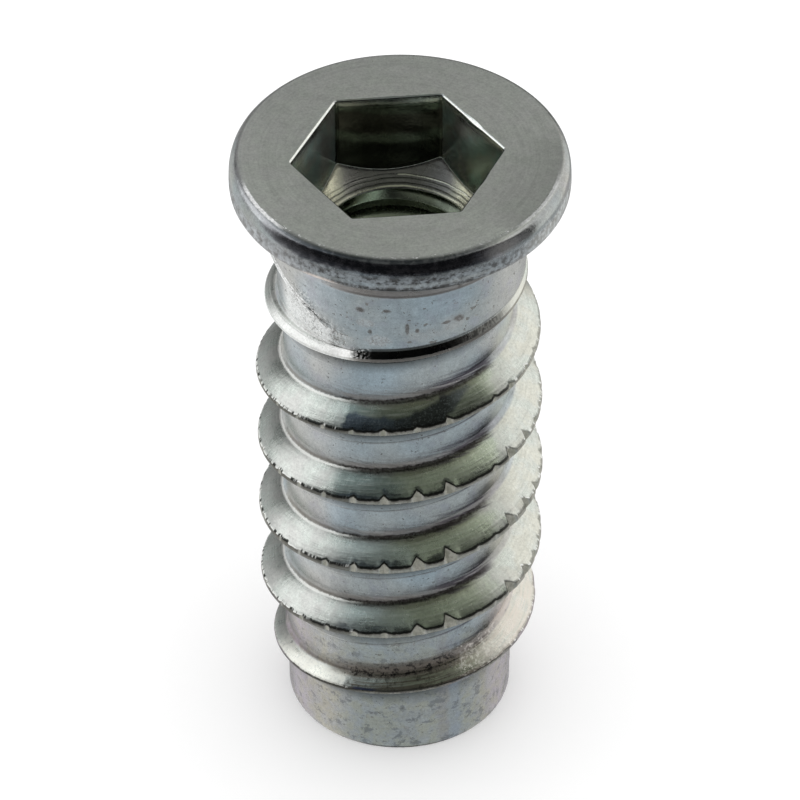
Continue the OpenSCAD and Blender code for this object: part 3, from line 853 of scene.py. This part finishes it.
    # pits and specks in the plate, more on the collar and the plain end
    field = M.math("MAXIMUM", k["collar"], M.step(z, 7.2, 6.0, 0.0, 1.0)) * (1.0 - k["flank"])
    pits = M.noise(M.comb(x, y, z * 1.5), 2.3, 2.0, 0.75, 0.3)
    pit = M.step(pits, 0.66, 0.71) * field * (1.0 - low_end * 0.7)
    fleck = M.step(M.noise(M.comb(x, y, z * 1.6), 5.5, 1.0, 0.5), 0.71, 0.77) * outside * (1.0 - k["flank"] * 0.85)
    rough_patch = M.math("MAXIMUM", spot(-38.0, 6.0, 14.0, 0.80), spot(-50.0, 5.2, 10.0, 0.9, 0.4, 0.6))
    chips = grain + (grit - 0.5) * 0.55
    torn = rough_patch * M.step(chips, 0.56, 0.61)
    col = M.mix(rough_patch * M.step(chips, 0.47, 0.42) * 0.85, col, (0.86, 0.86, 0.84))
    fleck = fleck * (1.0 - k["rim"] * M.step(depth, 0.60, 0.45))
    dark = M.math("ADD", pit, fleck * 0.7 + torn * 0.8, clamp=True)
    blot = M.step(M.noise(M.comb(x, y, z * 1.3), 1.35, 5.0, 0.75), 0.545, 0.60) * low_end * (1.0 - k["flank"])
    plain = low_end * (1.0 - k["flank"]) * outside
    col = M.mix(plain * M.band(phi + (mid - 0.5) * 5.0, 24.0, 27.5, 31.0, 35.0) * 0.40, col, (0.39, 0.42, 0.50))
    col = M.mix(plain * M.step(M.math("ABSOLUTE", phi), 44.0, 66.0) * 0.85 * M.step(mottle, 0.35, 0.6, 0.3, 0.6), col, (0.58, 0.47, 0.58))
    col = M.mix(plain * M.band(phi + (mid - 0.5) * 12.0, 17.0, 22.0, 25.0, 27.0) * 0.35, col, (0.40, 0.34, 0.35))
    col = M.mix(blot * 0.60, col, (0.20, 0.195, 0.20))
    marks_ = spot(-16.9, 4.14, 2.0, 0.13, 0.4, 0.7) + spot(-4.9, 4.05, 1.7, 0.09, 0.4, 0.6) + spot(4.05, 5.03, 0.9, 0.30, 0.4, 0.7) + spot(8.5, 5.19, 0.9, 0.12, 0.4, 0.7)
    marks_ = marks_ + spot(27.8, 4.95, 2.4, 0.17, 0.4, 0.9) + spot(21.6, 5.0, 1.9, 0.08, 0.4, 0.6) + spot(-12.3, 5.28, 0.9, 0.16, 0.4, 0.8) + spot(27.8, 3.04, 1.1, 0.20, 0.4, 0.7)
    marks_ = M.math("MINIMUM", marks_, 1.0)
    col = M.mix(marks_ * M.step(grain, 0.34, 0.48, 0.4, 1.0) * 0.92, col, (0.12, 0.105, 0.095))
    stains = M.math("ADD", spot(-14.5, 4.85, 4.0, 0.24) + spot(25.0, 5.1, 5.0, 0.4, 0.3, 0.7) * 0.6, spot(-9.0, 5.75, 6.0, 0.3, 0.3, 0.8) + spot(12.0, 5.5, 9.0, 0.3, 0.3, 0.9) * 0.5, clamp=True)
    col = M.mix(stains * M.step(grain, 0.44, 0.58) * 0.65, col, (0.27, 0.25, 0.24))
    col = M.mix(dark * 0.78, col, (0.13, 0.125, 0.115))
    # grain that shows in the plate's own colour, and painted light and shade: the collar, rim and lower end made
    # lighter or darker on some sides
    grain_and_shading = 1.0 + (grain - 0.5) * 0.55 + (fine - 0.5) * 0.40 + (mottle - 0.5) * 0.30
    grain_and_shading = grain_and_shading + (rings - 0.5) * top * 0.35 + (upright - 0.5) * k["collar"] * 0.18 + (round_ - 0.5) * k["collar"] * 0.30 + (grit - 0.5) * low_rim * 0.9
    grain_and_shading = grain_and_shading + (lines - 0.5) * k["flank"] * 0.25 + (round_ - 0.5) * fillet * 0.9
    grain_and_shading = grain_and_shading * (1.0 + k["collar"] * M.band(phi, -80.0, -60.0, -46.0, -32.0) * 0.05 + k["collar"] * M.step(phi, 38.0, 55.0) * 0.10
                     - low_end * (1.0 - k["flank"]) * M.band(phi, -170.0, -120.0, -52.0, -36.0) * 0.14 + low_rim * M.step(front, 0.66, 0.5) * 0.12
                     - k["rim"] * (1.0 - low_rim) * M.band(phi, 38.0, 52.0, 90.0, 110.0) * 0.25)
    grain_and_shading = grain_and_shading * (1.0 + M.band(z, 20.9, 21.3, 23.5, 23.8) * (1.0 - k["flank"]) * M.band(phi, -20.0, 0.0, 70.0, 90.0) * outside * 0.10 + k["rim"] * M.band(phi, -120.0, -90.0, -60.0, -44.0) * 0.08)
    grey = M.comb(grain_and_shading, grain_and_shading, grain_and_shading)
    col = M.mix(1.0, col, grey, "MULTIPLY")
    # the crest's upper edge: a painted dark reflection line, broken by burrs painted bright as highlights on the left
    # and right
    edge = M.band(ec + (grain - 0.5) * 0.08, -0.035, -0.01, 0.07, 0.115) * M.step(turn, -0.75, -0.5) * M.step(turn, 4.4, 3.9)
    burrs = M.noise(M.comb(c * 26.0, s_ * 26.0, turn * 9.0), 1.0, 2.0, 0.7)
    left_edge = M.step(phi, -8.0, -32.0)
    burr_highlights = M.step(phi, -36.0, -50.0) * M.step(burrs, 0.42, 0.50) + M.band(phi, -50.0, -40.0, -26.0, -14.0) * M.step(burrs, 0.55, 0.68) * 0.8
    burr_highlights = M.math("ADD", burr_highlights, M.step(burrs, 0.53, 0.62) * M.step(phi, 45.0, 60.0), clamp=True)
    col = M.mix(edge * (1.0 - burr_highlights) * M.step(phi, 44.0, 60.0, 0.94, 0.25), col, (0.035, 0.035, 0.032))
    edge = edge * M.step(burr_highlights * M.step(ec, 0.03, 0.06), 0.5, 1.0, 1.0, 0.3)
    col = M.mix(edge * burr_highlights, col, (0.86, 0.87, 0.84))
    # a painted highlight line where the flank meets the fillet on the left, and a painted highlight along the torn
    # lip's upper edge
    junction_highlight = M.band(ef + (grain - 0.5) * 0.10, -0.02, 0.02, 0.07, 0.14) * M.step(phi + (grit - 0.5) * 14.0, -16.0, -32.0) * M.band(turn, -0.9, -0.6, 3.8, 4.3)
    lip_highlight = M.band(ef + (grain - 0.5) * 0.08, -0.215, -0.18, -0.14, -0.10) * M.band(turn, -1.3, -1.2, -0.75, -0.6) * M.step(phi, -20.0, -40.0)
    col = M.mix(M.math("MAXIMUM", junction_highlight * 0.85, lip_highlight * 0.8), col, (0.90, 0.90, 0.87))
    # the run-out: bright on the left, dark concentric grooves in front, brown and pink on the right
    last = M.step(turn, 3.62, 3.8)
    run_out = last * M.math("MAXIMUM", k["flank"], k["fillet"])
    run_out_pale_left = last * k["flank"] * M.step(ef + (grit - 0.5) * 0.2, 0.02, 0.12) * M.band(phi + (mid - 0.5) * 8.0 + (grit - 0.5) * 6.0, -84.0, -62.0, -26.0, -23.0)
    run_out_pale_left = run_out_pale_left * M.step(chips, 0.38, 0.50, 0.55, 1.0)
    col = M.mix(run_out_pale_left * 0.85, col, (0.90, 0.885, 0.82))
    grooves = M.step(M.noise(M.comb(c * 1.5, s_ * 1.5, r * 14.0), 1.0, 2.0, 0.6), 0.42, 0.58)
    run_out_dark_front = M.band(turn, 3.5, 3.75, 4.3, 4.6) * M.math("MAXIMUM", on_core, corner) * M.band(phi + (mid - 0.5) * 12.0, -42.0, -24.0, 30.0, 46.0)
    col = M.mix(run_out_dark_front * M.step(streaks + (grit - 0.5) * 0.6, 0.35, 0.6, 0.95, 0.45), col, (0.22, 0.195, 0.165))
    col = M.mix(run_out_dark_front * M.step(grit + (grain - 0.5) * 0.7, 0.52, 0.60) * 0.8, col, (0.06, 0.055, 0.05))
    scored = run_out * M.band(phi + (mid - 0.5) * 10.0 + (grit - 0.5) * 8.0, -25.0, -21.0, 30.0, 50.0)
    run_out_brown = M.mix(M.step(phi, 12.0, 40.0), (0.195, 0.175, 0.15), (0.44, 0.385, 0.335))
    col = M.mix(scored * M.step(grooves, 0.0, 1.0, 0.95, 0.45), col, run_out_brown)
    col = M.mix(scored * M.step(grit + (grain - 0.5) * 0.6, 0.54, 0.64) * 0.6, col, (0.055, 0.05, 0.045))
    col = M.mix(run_out * M.step(phi, 26.0, 50.0) * M.step(lines, 0.35, 0.6, 0.2, 0.85), col, (0.76, 0.69, 0.64))
    run_out_pale_flecks = run_out * M.band(phi, 20.0, 32.0, 50.0, 66.0) * M.step(chips + (mottle - 0.5) * 0.5, 0.53, 0.60)
    col = M.mix(run_out_pale_flecks * 0.55, col, (0.88, 0.85, 0.79))
    dots = M.band(ef + (grit - 0.5) * 0.10, -0.16, -0.08, 0.10, 0.20) * M.step(turn, 3.72, 3.84) * M.step(chips, 0.50, 0.56) * M.band(phi, -30.0, -20.0, 24.0, 40.0)
    col = M.mix(dots * 0.9, col, (0.03, 0.027, 0.025))
    blue = run_out * k["flank"] * M.band(phi + (grit - 0.5) * 5.0, -22.0, -20.5, -13.0, -9.0) * M.step(ec, 0.16, 0.08)
    col = M.mix(blue * 0.8, col, (0.05, 0.07, 0.15))
    # the collar's lower edge is knurled on the right
    knurl = M.step(M.noise(M.comb(c * 64.0, s_ * 64.0, r * 9.0), 1.0, 2.0, 0.6), 0.42, 0.58)
    knurl = M.math("MAXIMUM", knurl * M.step(phi, 24.0, 44.0), M.step(phi + (grain - 0.5) * 12.0, 46.0, 56.0)) * k["flank"] * M.band(turn, -1.32, -1.24, -0.8, -0.7) * M.step(phi, 84.0, 70.0)
    col = M.mix(knurl * 0.55, col, (0.78, 0.775, 0.72))
    M.put(bsdf.inputs["Base Color"], col)

    # ---- how much bare metal shows
    clean_side = corner * (1.0 - around)
    matte = corner * around * 0.22 + on_core * around * 0.06 - corner_shade_line * around * 0.2 + clean_side * 0.34 + junction_highlight * 0.35 + blade * 0.72 + trough * 0.30 + torn_lip * beads * M.step(phi, -34.0, -40.0) * 0.5
    matte = matte + gleam * 0.5 + groove_shade * M.step(phi, 22.0, 38.0) * 0.12 + marks_ * 0.2
    matte = matte + dark * (0.5 - k["rim"] * 0.4) + k["nick"] * 0.38 + k["land"] * M.math("MAXIMUM", run_in, start) * 0.45 + k["land"] * (0.22 - left_land * 0.14)
    matte = matte + low_rim * 0.08 + neck * 0.2 + seam_highlight * 0.3 + edge * burr_highlights * 0.7 + stains * 0.2 + pink_highlight * 0.35 + lip_highlight * 0.3 + run_out_pale_left * 0.25
    matte = matte + k["wall"] * (1.0 - rear) * M.step(x, 0.5, -0.5, 0.045, 0.10) + rim_highlight_patches * 0.22 + knurl * 0.14
    matte = matte + run_out_pale_flecks * 0.3 + run_out_dark_front * 0.16 + shoulder * M.step(front, 0.96, 0.72, 0.035, 0.09) + glint * 0.55 + flare_highlight * 0.55 + lit * 0.09 + ends * 0.20
    M.put(bsdf.inputs["Metallic"], M.math("SUBTRACT", 1.0, matte, clamp=True))

    # ---- roughness
    rough = M.step(mid, 0.3, 0.7, 0.20, 0.29)
    rough = rough + (grit - 0.5) * 0.12
    rough = rough + k["flank"] * 0.05 + fillet * 0.22 + k["land"] * 0.14 + k["nick"] * 0.30 + k["neck"] * 0.06
    rough = rough - k["rim"] * (1.0 - low_rim) * 0.10 + low_rim * 0.08 - k["wall"] * (0.06 + rear * 0.12) + k["cone"] * 0.02 - k["mouth"] * 0.08
    rough = rough + dark * 0.2 + top * 0.18 + (rings - 0.5) * top * 0.08 + edge * 0.2 + seam_highlight * 0.2
    M.put(bsdf.inputs["Roughness"], M.math("MAXIMUM", M.math("MINIMUM", rough, 0.7), 0.06))

    # ---- relief, in millimetres
    h = (grain - 0.5) * 0.0020 + (grit - 0.5) * 0.0040
    h = h + (mid - 0.5) * 0.006
    h = h + (rings - 0.5) * top * 0.0040
    h = h + (radial - 0.5) * k["flank"] * 0.0055 + (lines - 0.5) * k["flank"] * 0.008
    h = h + (round_ - 0.5) * fillet * 0.012
    h = h + (upright - 0.5) * k["collar"] * 0.0030
    h = h + (round_ - 0.5) * k["rim"] * 0.008 + (grit - 0.5) * low_rim * 0.012
    cut = M.math("ABSOLUTE", r - 3.80 + (mid - 0.5) * 0.1)
    marks = M.step(cut, 0.0, 0.04, 1.0, 0.0)
    for radius, w in ((3.66, 0.04), (3.49, 0.05)):
        marks = marks + M.step(M.math("ABSOLUTE", bite - radius), 0.0, w, 1.0, 0.0)
    h = h - k["cone"] * (marks * 0.006) + k["cone"] * (rings - 0.5) * 0.008
    h = h + (M.noise(M.comb(x * 5.0, y * 5.0, z * 0.4), 1.0, 2.0, 0.6) - 0.5) * k["wall"] * 0.002
    h = h - dark * 0.012 + rough_patch * (grit - 0.5) * 0.05
    bump = M.new("ShaderNodeBump")
    bump.inputs["Strength"].default_value = 1.0
    bump.inputs["Distance"].default_value = 0.001
    M.put(bump.inputs["Height"], h)
    M.put(bsdf.inputs["Normal"], Sock(M, bump.outputs["Normal"]))


zinc(Net(nt))

# ---------------------------------------------------------------- studio
sc = bpy.context.scene
cam_d = bpy.data.cameras.new("cam"); cam = bpy.data.objects.new("cam", cam_d)
sc.collection.objects.link(cam); sc.camera = cam


def place_camera(dist=263.27, elev=41.25, roll=-0.2, u0=400.0, v0=155.4, f_px=6121.8):
    """Camera on the -Y side that sees the centre of the top face at pixel u0, v0 of an 800 pixel square."""
    from mathutils import Matrix, Vector
    e, k = deg(elev), deg(roll)
    fw = Vector((0, math.cos(e), -math.sin(e)))
    up0 = Vector((0, math.sin(e), math.cos(e)))
    rt0 = Vector((1, 0, 0))
    rt = math.cos(k) * rt0 + math.sin(k) * up0
    up = -math.sin(k) * rt0 + math.cos(k) * up0
    d = ((u0 - 400) / f_px * rt - (v0 - 400) / f_px * up + fw).normalized()
    loc = Vector((0, 0, TOP * MM)) - dist * MM * d
    m = Matrix((rt, up, -fw)).transposed().to_4x4()
    m.translation = loc
    cam.matrix_world = m
    cam_d.sensor_fit = "HORIZONTAL"
    cam_d.sensor_width = 36.0
    cam_d.lens = f_px / 800 * 36.0
    cam_d.clip_start = 0.01
    cam_d.clip_end = 20.0


place_camera()
sc.view_settings.view_transform = "Standard"


def studio():
    """A plain pale floor, and a soft studio all round: a softbox on each side, a dark side towards the camera."""
    world = bpy.data.worlds.new("studio"); world.use_nodes = True
    sc.world = world
    world.cycles.sampling_method = "NONE"
    W = Net(world.node_tree)
    bg = next(n for n in world.node_tree.nodes if n.type == "BACKGROUND")
    tc = W.new("ShaderNodeTexCoord")
    x, y, z = W.sep(Sock(W, tc.outputs["Generated"]))
    rad = 180 / math.pi
    az = W.math("ARCTAN2", x, y * -1.0) * rad        # 0 at the camera's side, positive to the right
    el = W.math("ARCSINE", z) * rad
    aaz = W.math("ABSOLUTE", az)
    # walls of the room: dark in front, paler behind
    back = W.step(aaz, 120.0, 165.0)
    room = W.mix(back, (0.010, 0.010, 0.011), (0.15, 0.155, 0.15))
    room = W.mix(back * W.step(el, 18.0, 38.0), room, (0.418, 0.43, 0.42))
    # ceiling, paler where it meets the front wall
    room = W.mix(W.step(el, 46.0, 58.0), room, W.mix(W.step(el, 66.0, 76.0), (0.26, 0.28, 0.245), (0.15, 0.165, 0.145)))
    # floor: dimmer in front and right under the part
    low = W.mix(W.step(aaz, 68.0, 116.0), (0.49, 0.56, 0.60), (0.66, 0.68, 0.68))
    low = W.mix(W.step(az, -40.0, -95.0) * 0.85, low, (0.94, 0.95, 0.96))
    low = W.mix(W.step(aaz, 128.0, 158.0), low, (0.46, 0.47, 0.47))
    low = W.mix(W.step(el, -80.0, -56.0, 0.85, 0.0), low, (0.10, 0.095, 0.09))
    low = W.mix(W.step(el, -80.0, -73.0, 1.0, 0.0), low, (0.012, 0.012, 0.012))
    rise = W.step(az, -12.0, -44.0) * 17.0 + W.step(az, 14.0, 46.0) * 6.0      # the floor reaches higher at the sides
    room = W.mix(W.step(el - rise * 0.75, -43.0, -18.0, 1.0, 0.0), room, low)
    glow = W.band(az, -100.0, -60.0, -40.0, -20.0) * W.band(el, -40.0, -22.0, -8.0, 14.0)
    room = W.mix(glow, room, W.mix(W.step(el, -26.0, -2.0), (0.30, 0.31, 0.31), (0.10, 0.10, 0.105)))
    # left softbox, cool
    lean = W.math("MAXIMUM", el - 28.0, 0.0)          # the boxes lean in over the part
    azl = az - lean * 1.05
    left = W.band(az, -138.0, -118.0, 400.0, 500.0) * W.step(azl, -79.0, -96.0) * W.band(el, 2.0, 16.0, 58.0, 74.0)
    room = W.mix(left, room, W.mix(W.step(el, 38.0, 50.0), (1.34, 1.38, 1.36), (0.60, 0.66, 0.66)))
    lside = W.band(az, -160.0, -140.0, -100.0, -80.0) * W.band(el, -45.0, -30.0, 0.0, 16.0)
    room = W.mix(lside, room, (0.56, 0.59, 0.58))
    # right softbox, larger, softer and warmer
    azr = az + lean * 1.0
    right = W.step(azr, 84.0, 99.0) * W.step(az, 140.0, 160.0, 1.0, 0.0) * W.band(el, -34.0, -16.0, 58.0, 74.0)
    room = W.mix(right, room, W.mix(W.step(el, 42.0, 54.0), (1.10, 1.11, 1.06), (0.72, 0.75, 0.68)))
    lp = W.new("ShaderNodeLightPath")
    cam_ray, glossy = Sock(W, lp.outputs["Is Camera Ray"]), Sock(W, lp.outputs["Is Glossy Ray"])
    col = W.mix(glossy, (1.2, 1.2, 1.2), room)
    col = W.mix(cam_ray, col, (1.0, 1.0, 1.0))
    W.put(bg.inputs["Color"], col)
    bg.inputs["Strength"].default_value = 1.0

    fm = bpy.data.meshes.new("floor")
    n, R = 96, 3.0
    ring = [(R * math.cos(2 * math.pi * i / n), R * math.sin(2 * math.pi * i / n), 0.0) for i in range(n)]
    fm.from_pydata(ring, [], [list(range(n))]); fm.update()
    floor = bpy.data.objects.new("floor", fm)
    sc.collection.objects.link(floor)
    paint = bpy.data.materials.new("floor_paint"); paint.use_nodes = True
    pb = next(k for k in paint.node_tree.nodes if k.type == "BSDF_PRINCIPLED")
    pb.inputs["Base Color"].default_value = (0.84, 0.84, 0.84, 1)
    pb.inputs["Emission Color"].default_value = (1, 1, 1, 1)
    pb.inputs["Emission Strength"].default_value = 0.16
    pb.inputs["Roughness"].default_value = 1.0
    pb.inputs["Specular IOR Level"].default_value = 0.0
    fm.materials.append(paint)
    floor.visible_glossy = False


studio()
